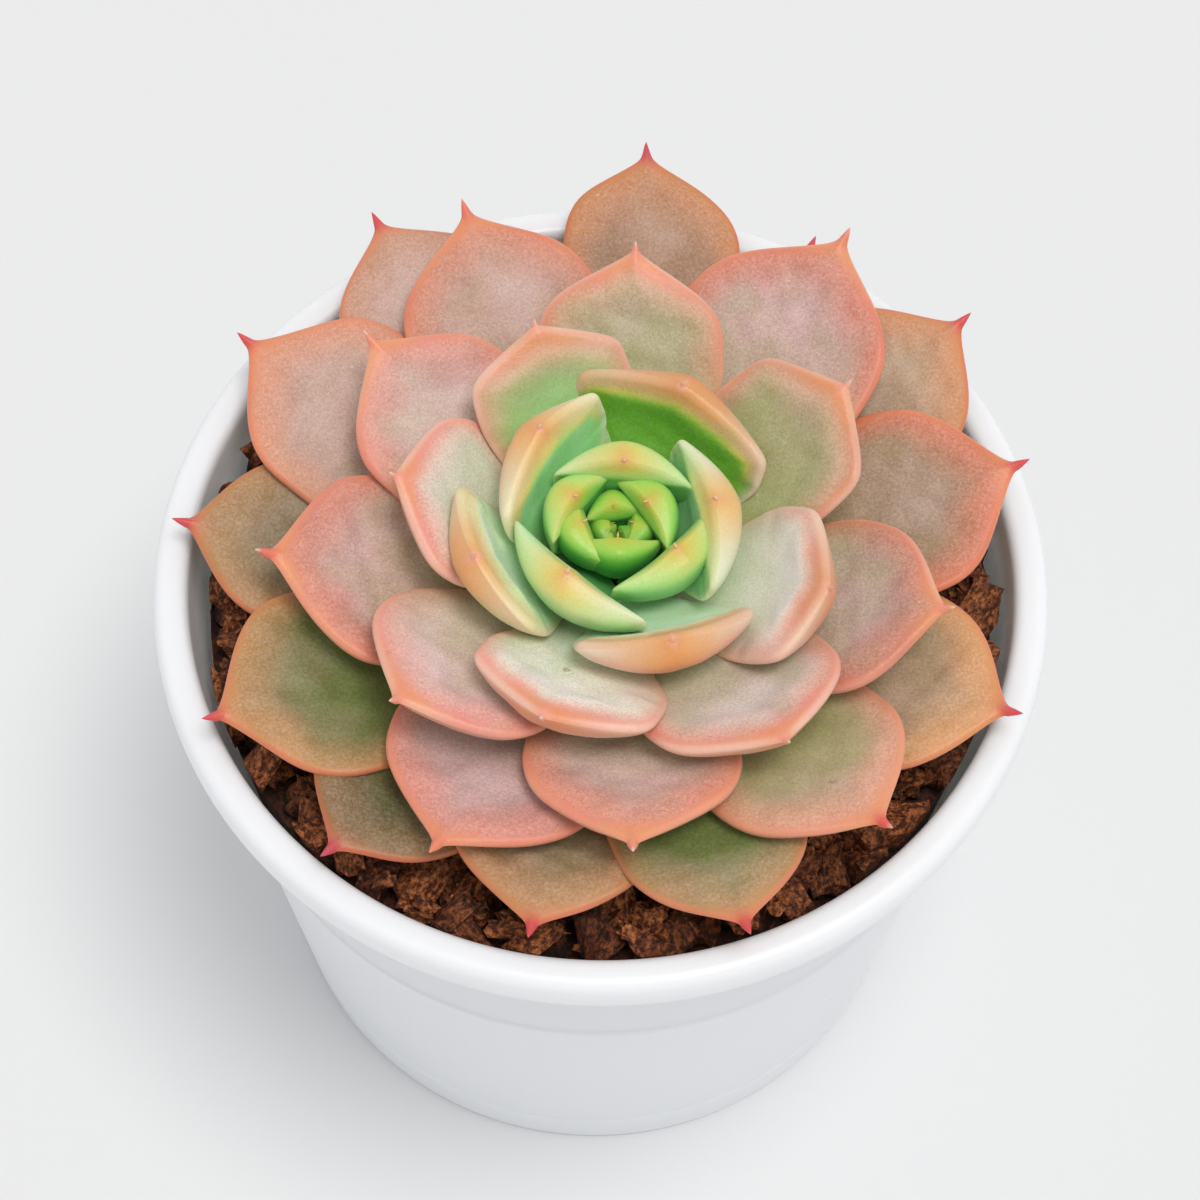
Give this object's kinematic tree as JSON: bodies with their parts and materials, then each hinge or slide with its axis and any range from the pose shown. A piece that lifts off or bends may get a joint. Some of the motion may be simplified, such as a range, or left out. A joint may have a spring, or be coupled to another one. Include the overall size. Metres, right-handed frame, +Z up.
{
  "type": "potted echeveria",
  "caption": "Rosette succulent with broad pink edged leaves and a green heart, planted in husk chips in a plain white round pot with a rolled lip.",
  "frame": {"origin": "middle of the pot's flat base, on the surface it stands on", "axes": "+Z up along the pot's axis, -Y towards the viewer of the picture"},
  "size_m": [0.105, 0.1114, 0.0974],
  "materials": {
    "pot_plastic": "satin",
    "husk_chips": "rough",
    "stem_bark": "rough",
    "leaf_young": "waxy",
    "leaf_middle": "waxy",
    "leaf_old": "waxy"
  },
  "bodies": {
    "root": {"pot": "pot_plastic", "planting_mix": "husk_chips", "stem": "stem_bark", "heart": "leaf_young", "leaf_03": "leaf_young", "leaf_04": "leaf_young", "leaf_05": "leaf_young", "leaf_06": "leaf_young", "leaf_07": "leaf_young", "leaf_08": "leaf_young", "leaf_09": "leaf_young", "leaf_10": "leaf_young", "leaf_11": "leaf_young", "leaf_12": "leaf_young", "leaf_13": "leaf_young", "leaf_14": "leaf_young", "leaf_15": "leaf_young", "leaf_16": "leaf_young", "leaf_17": "leaf_young", "leaf_18": "leaf_middle", "leaf_19": "leaf_middle", "leaf_20": "leaf_middle", "leaf_21": "leaf_middle", "leaf_22": "leaf_middle", "leaf_23": "leaf_middle", "leaf_24": "leaf_middle", "leaf_25": "leaf_middle", "leaf_26": "leaf_middle", "leaf_27": "leaf_middle", "leaf_28": "leaf_old", "leaf_29": "leaf_old", "leaf_30": "leaf_old", "leaf_31": "leaf_old", "leaf_32": "leaf_old", "leaf_33": "leaf_old", "leaf_34": "leaf_old", "leaf_35": "leaf_old", "leaf_36": "leaf_old", "leaf_37": "leaf_old", "leaf_38": "leaf_old", "leaf_39": "leaf_old", "leaf_40": "leaf_old", "leaf_41": "leaf_old", "leaf_42": "leaf_old", "leaf_43": "leaf_old", "leaf_45": "leaf_old", "leaf_46": "leaf_old"}
  },
  "joints": []
}
